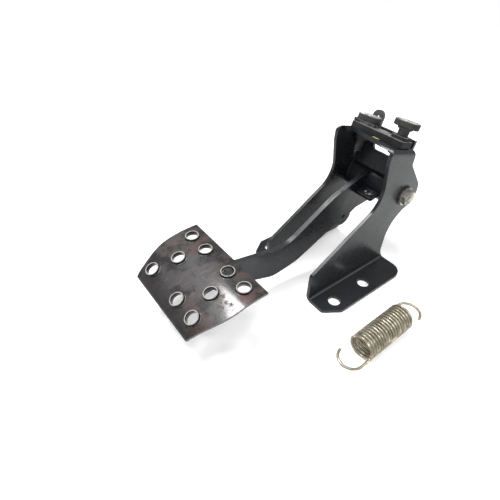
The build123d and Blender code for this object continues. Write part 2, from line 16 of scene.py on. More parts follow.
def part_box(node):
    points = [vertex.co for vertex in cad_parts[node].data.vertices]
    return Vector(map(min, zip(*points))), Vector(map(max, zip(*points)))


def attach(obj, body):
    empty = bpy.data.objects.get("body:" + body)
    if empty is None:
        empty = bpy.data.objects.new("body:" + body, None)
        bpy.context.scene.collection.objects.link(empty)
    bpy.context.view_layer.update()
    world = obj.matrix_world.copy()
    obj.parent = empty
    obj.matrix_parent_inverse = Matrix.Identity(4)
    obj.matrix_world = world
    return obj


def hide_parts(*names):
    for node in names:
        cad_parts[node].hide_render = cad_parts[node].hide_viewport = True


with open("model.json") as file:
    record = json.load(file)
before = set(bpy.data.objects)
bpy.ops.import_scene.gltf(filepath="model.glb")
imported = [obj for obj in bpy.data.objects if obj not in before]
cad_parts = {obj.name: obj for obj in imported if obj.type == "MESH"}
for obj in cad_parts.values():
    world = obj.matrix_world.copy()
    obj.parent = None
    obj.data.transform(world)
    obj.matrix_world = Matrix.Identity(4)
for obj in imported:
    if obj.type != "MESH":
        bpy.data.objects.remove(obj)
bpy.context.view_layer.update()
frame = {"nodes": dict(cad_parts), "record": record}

MM = 0.001

print("nodes:", sorted(frame["nodes"]))

# %% [markdown]
# The camera was solved from the parallel edges in the photograph: a wide lens, close to the pedal and
# looking down at it. Its three directions are unit vectors in the part's own frame, so they go straight
# into the camera's matrix. Blender's camera looks along its own -Z with +Y up.

# %% Camera
PHOTO_SIDE = 500
FOCAL_PIXELS = 395.0
SENSOR = 36.0
NEAREST_SEEN = 0.01
FARTHEST_SEEN = 20.0
CAMERA_PLACE = Vector((0.1829213, -0.2255705, 0.2647787))
TO_RIGHT = Vector((0.6022793, 0.7978349, 0.0268163))
TO_DOWN = Vector((0.536779, -0.3798888, -0.753361))
TO_FRONT = Vector((-0.5908705, 0.4681281, -0.6570602))

camera_data = bpy.data.cameras.new("photo_camera")
camera_data.sensor_width = SENSOR
camera_data.lens = FOCAL_PIXELS * SENSOR / PHOTO_SIDE
camera_data.clip_start = NEAREST_SEEN
camera_data.clip_end = FARTHEST_SEEN
camera = bpy.data.objects.new("photo_camera", camera_data)
bpy.context.scene.collection.objects.link(camera)
turn = Matrix((TO_RIGHT, -TO_DOWN, -TO_FRONT)).transposed()
camera.matrix_world = Matrix.Translation(CAMERA_PLACE) @ turn.to_4x4()
bpy.context.scene.camera = camera
print("lens", round(camera_data.lens, 2), "mm")

# %% [markdown]
# Shader nodes are wired the same way in the room and in the finishes, so two small functions do it.

# %% Helpers for shader nodes
def plug(tree, source, socket):
    """Links a socket to a node's output, or sets it to a plain value."""
    if isinstance(source, bpy.types.NodeSocket):
        tree.links.new(source, socket)
    else:
        socket.default_value = source


def calculate(tree, operation, first, second=0.0):
    """One sum on two outputs or plain values."""
    node = tree.nodes.new("ShaderNodeMath")
    node.operation = operation
    plug(tree, first, node.inputs[0])
    plug(tree, second, node.inputs[1])
    return node.outputs[0]


print("helpers: plug, calculate")

# %% [markdown]
# The photograph has a plain white ground with soft grey shadows. A white floor that only reflects light
# would need so much of it that the black paint would turn grey. So the floor also glows a little, for
# the camera and for reflections only, which lifts it to white and leaves the shadows in it. It ends just
# outside the picture, before the lamps' light fades on it.
# Most of what is seen of the black paint is this white room mirrored in it, so the sky is brighter in
# reflections than as a light, and plain white where the camera looks past the floor.

# %% Floor and surroundings
FLOOR_GLOW = 0.27
FLOOR_COLOUR = (0.93, 0.93, 0.93, 1.0)
FLOOR_HALF_SIDE = 1.2
FLOOR_HEIGHT = -0.0002
WHITE = (1.0, 1.0, 1.0, 1.0)
SKY_LIGHT = 0.20
SKY_MIRRORED = 0.50


def seen_directly(tree):
    """1 for rays from the camera and for reflected and refracted rays, 0 for the rest."""
    path = tree.nodes.new("ShaderNodeLightPath")
    either = calculate(tree, "MAXIMUM", path.outputs["Is Camera Ray"], path.outputs["Is Glossy Ray"])
    return calculate(tree, "MAXIMUM", either, path.outputs["Is Transmission Ray"])


def floor_material():
    """White diffuse ground with a glow that only the camera and reflections see."""
    made = bpy.data.materials.new("studio_floor")
    made.use_nodes = True
    tree = made.node_tree
    tree.nodes.clear()
    matt = tree.nodes.new("ShaderNodeBsdfDiffuse")
    matt.inputs["Color"].default_value = FLOOR_COLOUR
    glow = tree.nodes.new("ShaderNodeEmission")
    plug(tree, calculate(tree, "MULTIPLY", seen_directly(tree), FLOOR_GLOW), glow.inputs["Strength"])
    both = tree.nodes.new("ShaderNodeAddShader")
    tree.links.new(matt.outputs[0], both.inputs[0])
    tree.links.new(glow.outputs[0], both.inputs[1])
    out = tree.nodes.new("ShaderNodeOutputMaterial")
    tree.links.new(both.outputs[0], out.inputs["Surface"])
    return made


def white_room():
    """World that is white to the camera, dimmer in reflections and dimmest as a light."""
    world = bpy.data.worlds.new("white_room")
    world.use_nodes = True
    tree = world.node_tree
    background = tree.nodes["Background"]
    background.inputs["Color"].default_value = WHITE
    path = tree.nodes.new("ShaderNodeLightPath")
    mirrored = calculate(tree, "MULTIPLY", path.outputs["Is Glossy Ray"], SKY_MIRRORED)
    unseen = calculate(tree, "MAXIMUM", mirrored, SKY_LIGHT)
    strength = calculate(tree, "MAXIMUM", path.outputs["Is Camera Ray"], unseen)
    plug(tree, strength, background.inputs["Strength"])
    return world


shell = bmesh.new()
bmesh.ops.create_grid(shell, x_segments=1, y_segments=1, size=FLOOR_HALF_SIDE)
floor_mesh = bpy.data.meshes.new("studio_floor")
shell.to_mesh(floor_mesh)
shell.free()
floor = bpy.data.objects.new("studio_floor", floor_mesh)
floor.location.z = FLOOR_HEIGHT
floor_mesh.materials.append(floor_material())
bpy.context.scene.collection.objects.link(floor)

bpy.context.scene.world = white_room()
bpy.context.scene.view_settings.view_transform = "Standard"
print("floor", 2 * FLOOR_HALF_SIDE, "m wide")

# %% [markdown]
# The photograph was taken under soft light from above. The hub is dark while the gusset just in front of
# it is bright, so the main light stands almost overhead, slightly to the front. A weaker one from the
# right rear gives the right cheek its sheen, and a faint one near the camera opens the shadows. The glare
# on the pad's right front corner mirrors a narrow bright window on the left, which adds little light.
# Each row has a name, the direction from the pedal, the distance, width and height in metres, and the
# power in watts.

# %% Lamps
LAMPS = (
    ("overhead", (-0.10, -0.25, 1.00), 2.6, 1.2, 1.2, 36.0),
    ("right_rear", (0.50, 0.50, 0.70), 2.6, 1.2, 1.2, 24.0),
    ("fill", (0.47, -0.57, 0.67), 2.6, 1.2, 1.2, 18.0),
    ("window", (-0.425, -0.18, 0.88), 1.3, 0.66, 0.22, 13.0),
)
LIT_POINT = Vector((0.0, 0.0, 0.05))


def soft_lamp(name, towards, distance, width, height, power):
    """Rectangular area lamp that shines on the middle of the pedal."""
    way = Vector(towards).normalized()
    data = bpy.data.lights.new(name, "AREA")
    data.shape = "RECTANGLE"
    data.size = width
    data.size_y = height
    data.energy = power
    lamp = bpy.data.objects.new(name, data)
    lamp.location = LIT_POINT + way * distance
    lamp.rotation_mode = "QUATERNION"
    lamp.rotation_quaternion = way.to_track_quat("Z", "Y")
    bpy.context.scene.collection.objects.link(lamp)


for row in LAMPS:
    soft_lamp(*row)
print("lamps:", [row[0] for row in LAMPS])

# %% [markdown]
# The CAD model has plain triangular fillets where the real pedal has hand-laid weld beads. A bead is a
# tube that follows the joint, swells once for every pool of metal, drifts slowly in width and tapers at
# both ends.

# %% Helpers for pieces
BEAD_SIDES = 10
POOL_STEPS = 4
LEAST_SWELL = 0.82
SWELL = 0.18
DRIFT = 0.07
DRIFT_RATE = 2.1
TAPER_START = 0.25
OFF_EVERY_BEAD = Vector((0.36, 0.48, 0.80))


def tube_rings(shell, path, radii):
    """Closed tube through the points of a path, with its own radius at each."""
    rings = []
    for index, (point, radius) in enumerate(zip(path, radii)):
        ahead = path[min(index + 1, len(path) - 1)] - path[max(index - 1, 0)]
        side = ahead.cross(OFF_EVERY_BEAD).normalized()
        other = ahead.cross(side).normalized()
        ring = []
        for step in range(BEAD_SIDES):
            angle = math.tau * step / BEAD_SIDES
            outward = math.cos(angle) * side + math.sin(angle) * other
            ring.append(shell.verts.new(point + radius * outward))
        rings.append(ring)
    join_rings(shell, rings)


def join_rings(shell, rings):
    """Skin over a row of rings of points, closed at both ends."""
    corners = len(rings[0])
    for here, there in zip(rings, rings[1:]):
        for corner in range(corners):
            after = (corner + 1) % corners
            shell.faces.new((here[corner], here[after], there[after], there[corner]))
    shell.faces.new(rings[0])
    shell.faces.new(rings[-1])


def weld_bead(shell, place, length, radius, pool):
    """Bead along place(distance), with one swelling for each pool of metal; lengths in millimetres."""
    count = max(2, round(length / pool)) * POOL_STEPS
    path, radii = [], []
    for step in range(count + 1):
        distance = length * step / count
        swell = LEAST_SWELL + SWELL * abs(math.sin(math.pi * distance / pool))
        drift = 1.0 + DRIFT * math.sin(DRIFT_RATE * distance)
        taper = min(1.0, TAPER_START + min(distance, length - distance) / radius)
        path.append(place(distance))
        radii.append(radius * swell * drift * taper * MM)
    tube_rings(shell, path, radii)


dressed = []


def finish_piece(name, shell, body, slot, finish=None, smooth=True):
    """Turns a mesh under construction into a piece that rides on a body, and notes its finish."""
    bmesh.ops.recalc_face_normals(shell, faces=shell.faces)
    mesh = bpy.data.meshes.new(name)
    shell.to_mesh(mesh)
    shell.free()
    for face in mesh.polygons:
        face.use_smooth = smooth
    piece = bpy.data.objects.new(name, mesh)
    bpy.context.scene.collection.objects.link(piece)
    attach(piece, body)
    dressed.append((piece, finish or slot))
    print(name, len(mesh.vertices), "points")
    return piece


print("helpers: tube_rings, join_rings, weld_bead, finish_piece")

# %% [markdown]
# One bead runs round the lower front of the hub on each side of the arm. The path is worked out from the
# boxes of the hub and the arm, and its ends are angles from straight down, to the front and to the rear.
# The beads stand in for the plain fillets.

# %% Weld beads round the hub
HUB_BEAD_FRONT = math.radians(65.0)
HUB_BEAD_REAR = math.radians(60.0)
HUB_POOL = 1.7
BEAD_RADIUS = 1.7
BEAD_LIFT = 0.5

hub_low, hub_high = (Vector(corner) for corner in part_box("pedal_hub"))
arm_low, arm_high = (Vector(corner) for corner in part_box("pedal_arm"))
arm_faces = ((arm_low.x, -1), (arm_high.x, 1))
pivot = (hub_low + hub_high) / 2
hub_radius = (hub_high.z - hub_low.z) / 2 / MM
hub_reach = hub_radius + BEAD_LIFT


def round_the_hub(face_x, outward):
    """Path round the hub beside one face of the arm."""
    x = face_x + outward * BEAD_LIFT * MM

    def place(distance):
        angle = distance / hub_reach - HUB_BEAD_FRONT
        y = pivot.y + hub_reach * MM * math.sin(angle)
        z = pivot.z - hub_reach * MM * math.cos(angle)
        return Vector((x, y, z))

    return place


shell = bmesh.new()
hub_bead_length = hub_reach * (HUB_BEAD_FRONT + HUB_BEAD_REAR)
for face_x, outward in arm_faces:
    weld_bead(shell, round_the_hub(face_x, outward), hub_bead_length, BEAD_RADIUS, HUB_POOL)
hub_beads = finish_piece("hub_weld_beads", shell, "pedal", "arm_paint")
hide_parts("hub_welds")

# %% [markdown]
# The pad is a piece of a cylinder that lies across the pedal. Its axis follows from the pad's rear edge,
# its slope, its length and how far its middle bulges, so the four short beads under it and, later, the
# rims in its paint, worn steel with a painted highlight on top and painted shadow at the foot, can all be
# placed from that axis.

# %% Weld beads under the pad
PAD_REAR = (-91.5, 52.0)
PAD_SLOPE = math.radians(14.5)
CROWN_LENGTH = 64.0
CROWN_SAG = 4.5
PAD_SHEET = 2.0
PAD_BEAD_LENGTH = 12.0
PAD_BEAD_START = 2.0
PAD_POOL = 1.8

crown_radius = (CROWN_LENGTH**2 / 4 + CROWN_SAG**2) / (2 * CROWN_SAG)
inward = crown_radius - CROWN_SAG
crown_y = PAD_REAR[0] - CROWN_LENGTH / 2 * math.cos(PAD_SLOPE) + inward * math.sin(PAD_SLOPE)
crown_z = PAD_REAR[1] - CROWN_LENGTH / 2 * math.sin(PAD_SLOPE) - inward * math.cos(PAD_SLOPE)
rear_angle = math.atan2(PAD_REAR[1] - crown_z, PAD_REAR[0] - crown_y)
under_reach = crown_radius - PAD_SHEET - BEAD_LIFT
print("crown axis at y", round(crown_y, 2), "z", round(crown_z, 2), "radius", round(crown_radius, 2))


def under_the_pad(face_x, outward, begin):
    """Path along the pad's underside beside one face of the arm, from begin onwards."""
    x = face_x + outward * BEAD_LIFT * MM

    def place(distance):
        angle = rear_angle + (begin + distance) / crown_radius
        y = crown_y + under_reach * math.cos(angle)
        z = crown_z + under_reach * math.sin(angle)
        return Vector((x, y * MM, z * MM))

    return place


shell = bmesh.new()
for face_x, outward in arm_faces:
    for begin in (PAD_BEAD_START, PAD_BEAD_START + 2 * PAD_BEAD_LENGTH):
        weld_bead(shell, under_the_pad(face_x, outward, begin), PAD_BEAD_LENGTH, BEAD_RADIUS, PAD_POOL)
pad_beads = finish_piece("pad_weld_beads", shell, "pedal", "arm_paint")
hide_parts("pad_welds")

# %% [markdown]
# Two spatters of weld metal and a few crumbs stand on the little gusset between the arm and the hub, with
# the paint gone from their tops. Each is a small flattened ball with an uneven skin, set on the gusset's
# sloping top. A row of TACKS has its place across, its distance from the pivot and its radius.

# %% Tack welds on the gusset
GUSSET_TILT = math.radians(11.0)
GUSSET_TOP = 1.5
GUSSET_DROP = 0.5
TACKS = ((2.9, 19.5, 1.1), (8.1, 20.0, 1.5), (5.6, 21.6, 0.8), (10.4, 18.6, 0.6), (7.4, 16.6, 0.6))
TACK_FLATNESS = 0.5
ACROSS_WAVE = (0.10, 5.0, 2.0)
ALONG_WAVE = (0.08, 7.0)

shell = bmesh.new()
along_gusset = Vector((0, -math.cos(GUSSET_TILT), -math.sin(GUSSET_TILT)))
off_gusset = Vector((0, -math.sin(GUSSET_TILT), math.cos(GUSSET_TILT)))
gusset_start = Vector((0, pivot.y / MM, pivot.z / MM - GUSSET_DROP)) + off_gusset * GUSSET_TOP
for tack_x, reach, radius in TACKS:
    centre = gusset_start + along_gusset * reach + Vector((tack_x, 0, 0))
    ball = bmesh.ops.create_icosphere(shell, subdivisions=3, radius=1.0)
    for vertex in ball["verts"]:
        way = vertex.co.copy()
        across_wave = ACROSS_WAVE[0] * math.sin(ACROSS_WAVE[1] * way.x + ACROSS_WAVE[2] * tack_x)
        along_wave = ALONG_WAVE[0] * math.sin(ALONG_WAVE[1] * way.y + radius)
        uneven = 1.0 + across_wave + along_wave
        flat = way.x * Vector((1, 0, 0)) + way.y * along_gusset + TACK_FLATNESS * way.z * off_gusset
        vertex.co = (centre + flat * radius * uneven) * MM
finish_piece("gusset_tack_welds", shell, "pedal", "screw_zinc", "weld_metal")

# %% [markdown]
# Below the bridge the two screws end in thread, which the CAD model leaves as plain rod. A thread here is
# a ridge that winds round the last stretch of the rod: a triangle carried along a helix, which fades in
# and out at its ends. The left screw is driven home and the right one is backed off, so its end is
# higher. A row of THREAD_ENDS has the screw's place across, the height of its end over the middle of the
# bridge and the length of its thread.

# %% Screw threads
BRIDGE_TILT = math.radians(16.0)
BRIDGE_MIDDLE = (0.0, 53.0, 121.2)
SCREW_BACK = 1.5
SCREW_RADIUS = 3.0
THREAD_PITCH = 1.0
THREAD_STEPS = 24
THREAD_FADE = 6
THREAD_ENDS = ((-15.5, -18.5, 9.8), (19.0, -11.5, 3.4))
RIDGE = ((-0.45, -0.05), (0.0, 0.32), (0.45, -0.05))

up_the_screw = Vector((0, math.sin(BRIDGE_TILT), math.cos(BRIDGE_TILT)))
down_the_slope = Vector((0, math.cos(BRIDGE_TILT), -math.sin(BRIDGE_TILT)))
to_the_side = Vector((1, 0, 0))
screw_line = Vector(BRIDGE_MIDDLE) + down_the_slope * SCREW_BACK

shell = bmesh.new()
for screw_x, end_height, length in THREAD_ENDS:
    end = screw_line + to_the_side * screw_x + up_the_screw * end_height
    count = int(THREAD_STEPS * (length - THREAD_PITCH) / THREAD_PITCH)
    rings = []
    for step in range(count + 1):
        angle = math.tau * step / THREAD_STEPS
        out = math.cos(angle) * to_the_side + math.sin(angle) * down_the_slope
        height = THREAD_PITCH * (step / THREAD_STEPS + 0.5)
        fade = min(1.0, THREAD_FADE * step / count, THREAD_FADE * (count - step) / count)
        ring = []
        for offset, lift in RIDGE:
            reach = SCREW_RADIUS + (lift * fade if lift > 0 else lift)
            ring.append(shell.verts.new((end + up_the_screw * (height + offset) + out * reach) * MM))
        rings.append(ring)
    join_rings(shell, rings)
finish_piece("screw_threads", shell, "bracket", "screw_zinc", "screw_zinc", smooth=False)

# %% [markdown]
# Every finish is built from the same few shader nodes, so short helpers make them. Patterns read the
# Object coordinates: a node's object sits at the origin, so they are simply metres in the part's frame,
# and a spot of wear can be placed by the same numbers as the metal under it. All sizes and places given
# to the helpers are in millimetres, and every share runs from 0 to 1.

# %% Helpers for the finishes
EDGE_SAMPLES = 6
EDGE_FLAT = 0.99
EDGE_SHARP = 0.80


class Finish:
    """One material and the few kinds of node that the finishes here are made of."""

    def __init__(self, name):
        self.material = bpy.data.materials.new(name)
        self.material.use_nodes = True
        self.tree = self.material.node_tree
        self.shader = self.tree.nodes["Principled BSDF"]
        coordinates = self.tree.nodes.new("ShaderNodeTexCoord")
        self.place = coordinates.outputs["Object"]
        self.facing = coordinates.outputs["Normal"]

    def noise(self, size, detail=4.0, rough=0.55, stretch=None):
        """Soft cloud pattern whose lumps are about size across."""
        node = self.tree.nodes.new("ShaderNodeTexNoise")
        node.inputs["Scale"].default_value = 1.0 / (size * MM)
        node.inputs["Detail"].default_value = detail
        node.inputs["Roughness"].default_value = rough
        source = self.place
        if stretch:
            mapping = self.tree.nodes.new("ShaderNodeMapping")
            mapping.inputs["Scale"].default_value = stretch
            plug(self.tree, source, mapping.inputs["Vector"])
            source = mapping.outputs["Vector"]
        plug(self.tree, source, node.inputs["Vector"])
        return node.outputs["Fac"]

    def window(self, value, low, high, start=0.0, end=1.0):
        """Runs smoothly from start to end as value goes from low to high."""
        node = self.tree.nodes.new("ShaderNodeMapRange")
        node.interpolation_type = "SMOOTHSTEP"
        for name, number in (("From Min", low), ("From Max", high), ("To Min", start), ("To Max", end)):
            node.inputs[name].default_value = number
        plug(self.tree, value, node.inputs["Value"])
        return node.outputs["Result"]

    def span(self, distance, low, high, start=0.0, end=1.0):
        """A window on a distance or a coordinate, with its ends in millimetres."""
        return self.window(distance, low * MM, high * MM, start, end)

    def plus(self, first, second):
        return calculate(self.tree, "ADD", first, second)

    def minus(self, first, second):
        return calculate(self.tree, "SUBTRACT", first, second)

    def times(self, first, second):
        return calculate(self.tree, "MULTIPLY", first, second)

    def most(self, first, *others):
        """The largest of several values."""
        for other in others:
            first = calculate(self.tree, "MAXIMUM", first, other)
        return first

    def blend(self, share, first, second):
        """Colour that goes from first to second with the share."""
        node = self.tree.nodes.new("ShaderNodeMix")
        node.data_type = "RGBA"
        plug(self.tree, share, node.inputs["Factor"])
        for colour, letter in ((first, "A"), (second, "B")):
            socket = next(s for s in node.inputs if s.name == letter and s.type == "RGBA")
            plug(self.tree, colour if isinstance(colour, bpy.types.NodeSocket) else (*colour, 1.0), socket)
        return next(s for s in node.outputs if s.type == "RGBA")

    def axes(self, vector):
        """The three parts of a vector."""
        node = self.tree.nodes.new("ShaderNodeSeparateXYZ")
        plug(self.tree, vector, node.inputs[0])
        return node.outputs

    def near(self, point, reach):
        """1 at a point of the part, falling to 0 at the reach from it."""
        node = self.tree.nodes.new("ShaderNodeVectorMath")
        node.operation = "DISTANCE"
        plug(self.tree, self.place, node.inputs[0])
        node.inputs[1].default_value = [v * MM for v in point]
        return self.span(node.outputs["Value"], 0.0, reach, 1.0, 0.0)

    def rounded(self, radius):
        """The surface's direction with its edges rounded."""
        node = self.tree.nodes.new("ShaderNodeBevel")
        node.samples = EDGE_SAMPLES
        node.inputs["Radius"].default_value = radius * MM
        return node.outputs[0]

    def edge(self, radius):
        """1 along sharp edges, where paint wears off first, and 0 on flat faces."""
        true = self.tree.nodes.new("ShaderNodeNewGeometry")
        dot = self.tree.nodes.new("ShaderNodeVectorMath")
        dot.operation = "DOT_PRODUCT"
        plug(self.tree, self.rounded(radius), dot.inputs[0])
        plug(self.tree, true.outputs["Normal"], dot.inputs[1])
        return self.window(dot.outputs["Value"], EDGE_FLAT, EDGE_SHARP)

    def relief(self, height, strength, depth, edge_radius=0.5):
        """Fine surface relief over softly rounded edges."""
        bump = self.tree.nodes.new("ShaderNodeBump")
        bump.inputs["Strength"].default_value = strength
        bump.inputs["Distance"].default_value = depth * MM
        plug(self.tree, height, bump.inputs["Height"])
        plug(self.tree, self.rounded(edge_radius), bump.inputs["Normal"])
        plug(self.tree, bump.outputs[0], self.shader.inputs["Normal"])

    def set(self, **values):
        """Sets the shader's own sockets, plain or plugged."""
        for name, value in values.items():
            plug(self.tree, value, self.shader.inputs[name.replace("_", " ")])


finishes = {}
print("finishes read Object coordinates, in metres")

# %% [markdown]
# The bracket and the spring plate are one batch of semi-gloss black paint: almost even, with a faint
# orange-peel ripple, a few dull finger-dirt clouds and thin grey scuffs along the cut edges. The tall ear
# behind the left screw is painted a lighter grey, and two blots of yellow-green marking paint sit on the
# front edge of the bridge.

# %% Bracket paint
BRACKET_BLACK = (0.008, 0.009, 0.011)
BRACKET_FADED = (0.017, 0.019, 0.022)
BRACKET_SPECKS = (0.10, 0.10, 0.10)
BRACKET_SCUFFS = (0.16, 0.16, 0.155)
EAR_LIGHTER_GREY = (0.085, 0.085, 0.085)
EAR_SPOT = ((-17.5, 73.5, 134.0), 17.0)
MARKING = (0.50, 0.48, 0.20)
MARKING_BLOTS = (((3.0, 43.6, 123.9), 3.6), ((6.2, 43.2, 124.0), 3.2))


def bracket_paint():
    """Even black paint with specks, scuffed edges, a lighter grey ear and the marking."""
    paint = Finish("bracket_paint")
    clouds = paint.noise(22.0)
    grain = paint.noise(1.1, detail=3.0)
    specks = paint.window(paint.noise(2.6, detail=6.0, rough=0.7), 0.66, 0.74)
    worn = paint.times(paint.edge(0.5), paint.window(paint.noise(6.0), 0.45, 0.7))
    blots = paint.most(*(paint.near(place, reach) for place, reach in MARKING_BLOTS))
    ragged = paint.plus(blots, paint.window(clouds, 0.3, 0.7, -0.12, 0.12))
    colour = paint.blend(clouds, BRACKET_BLACK, BRACKET_FADED)
    colour = paint.blend(paint.times(specks, 0.35), colour, BRACKET_SPECKS)
    colour = paint.blend(paint.times(worn, 0.55), colour, BRACKET_SCUFFS)
    # Lighter grey round a spot on the ear.
    colour = paint.blend(paint.near(*EAR_SPOT), colour, EAR_LIGHTER_GREY)
    colour = paint.blend(paint.window(ragged, 0.36, 0.50), colour, MARKING)
    paint.set(
        Base_Color=colour,
        Roughness=paint.window(clouds, 0.3, 0.75, 0.24, 0.36),
        Specular_IOR_Level=0.30,
    )
    paint.relief(grain, strength=0.10, depth=0.12)
    return paint.material


finishes["bracket_paint"] = bracket_paint()
print("made bracket_paint")

# %% [markdown]
# The arm has the same paint, a little bluer, but feet have rubbed its top edge. The cut edges of a plate
# that lies in the Y-Z plane face away from X, so the shader finds them by the normal. It scratches that
# band lightly and lets the bare steel through in one short streak, painted light grey so that it also
# stands for the glint of light on that edge. Painted shade under the bridge and old grease darken the arm
# towards the hub. The pairs below are the places along Y between which each of these comes or goes.

# %% Arm paint
ARM_BLACK = (0.006, 0.008, 0.010)
ARM_FADED = (0.015, 0.018, 0.022)
ARM_RUBBED = (0.038, 0.041, 0.044)
ARM_BARE_AND_GLINT = (0.24, 0.24, 0.24)
ARM_EDGES = (0.22, 0.22, 0.22)
HUB_GREASE_AND_SHADE = (0.004, 0.0045, 0.005)
BAND_GOES = (52, 34)
STREAK_COMES = (4, 12)
STREAK_GOES = (44, 26)
GREASE_AND_SHADE_COMES = (55, 63)
ALONG_THE_ARM = (1.0, 0.16, 0.16)


def arm_paint():
    """Bluish black paint, rubbed along the top edge with a bare streak that also stands for a glint of
    light, and darkened round the hub by painted shade and grease.
    """
    paint = Finish("arm_paint")
    clouds = paint.noise(16.0)
    grain = paint.noise(0.9, detail=3.0)
    strokes = paint.noise(1.5, detail=5.0, rough=0.65, stretch=ALONG_THE_ARM)
    across, _, upward = paint.axes(paint.facing)
    _, along, _ = paint.axes(paint.place)
    cut_edge = paint.window(calculate(paint.tree, "ABSOLUTE", across), 0.6, 0.3)
    top_edge = paint.times(cut_edge, paint.window(upward, 0.25, 0.5))
    band = paint.times(top_edge, paint.span(along, *BAND_GOES))
    scratched = paint.times(band, paint.window(strokes, 0.35, 0.70, 0.25, 0.75))
    streak = paint.times(paint.span(along, *STREAK_COMES), paint.span(along, *STREAK_GOES))
    bare_and_glint = paint.times(paint.times(top_edge, streak), paint.window(strokes, 0.36, 0.56))
    worn = paint.times(paint.edge(0.45), paint.window(paint.noise(5.0), 0.35, 0.55))
    colour = paint.blend(clouds, ARM_BLACK, ARM_FADED)
    colour = paint.blend(scratched, colour, ARM_RUBBED)
    # Bare steel streak on the top edge, painted light grey so that it also stands for the glint of light
    # there.
    colour = paint.blend(paint.times(bare_and_glint, 0.5), colour, ARM_BARE_AND_GLINT)
    colour = paint.blend(paint.times(worn, 0.6), colour, ARM_EDGES)
    # Painted shade under the bridge, together with old grease, darkens the arm towards the hub.
    colour = paint.blend(paint.span(along, *GREASE_AND_SHADE_COMES, 0.0, 0.85), colour, HUB_GREASE_AND_SHADE)
    paint.set(
        Base_Color=colour,
        Roughness=paint.window(clouds, 0.3, 0.75, 0.24, 0.38),
        Specular_IOR_Level=0.27,
    )
    paint.relief(grain, strength=0.14, depth=0.12)
    return paint.material


finishes["arm_paint"] = arm_paint()
print("made arm_paint")

# %% [markdown]
# The pad is the part that is stood on. Its thin brown-black paint is polished glossy, cloudy blue-grey in
# the middle, purple-red towards the corners and flecked with rust at the right front, with painted shade
# that makes it nearly black along the rolled front, where it turns down. The rims stand proud of the
# crowned surface, which is part of a cylinder, so the distance from its axis tells the shader how high up
# a rim it is: worn steel with a painted highlight at the top, painted shadow at the foot. Each spot below
# is a place on the pad and how far the colour reaches from it.

# %% Pad paint
PAD_BLACK = (0.008, 0.008, 0.009)
PAD_BROWN = (0.042, 0.034, 0.030)
PAD_BLUISH = (0.033, 0.034, 0.040)
PAD_MOTTLE = (0.010, 0.010, 0.012)
PAD_RED = (0.082, 0.031, 0.032)
PAD_SCUFFS = (0.14, 0.14, 0.145)
PAD_RUST = (0.16, 0.025, 0.020)
PAD_FRONT_SHADE = (0.010, 0.009, 0.010)
PAD_EDGES = (0.20, 0.17, 0.16)
RIM_FOOT_SHADOW = (0.006, 0.0055, 0.0055)
RIM_STEEL_AND_HIGHLIGHT = (0.34, 0.33, 0.32)
MIDDLE_SPOT = ((-22, -128, 50), 34)
RED_SPOTS = (((32, -98, 50), 30), ((-50, -104, 50), 26), ((30, -148, 35), 24))
RUST_SPOT = ((30, -146, 37), 26)
FRONT_SHADE_COMES = (-140, -153)
RIM_FOOT = (0.10, 0.35)
RIM_TOP = (2.05, 2.3)
ALONG_THE_PAD = (1.0, 0.12, 0.12)


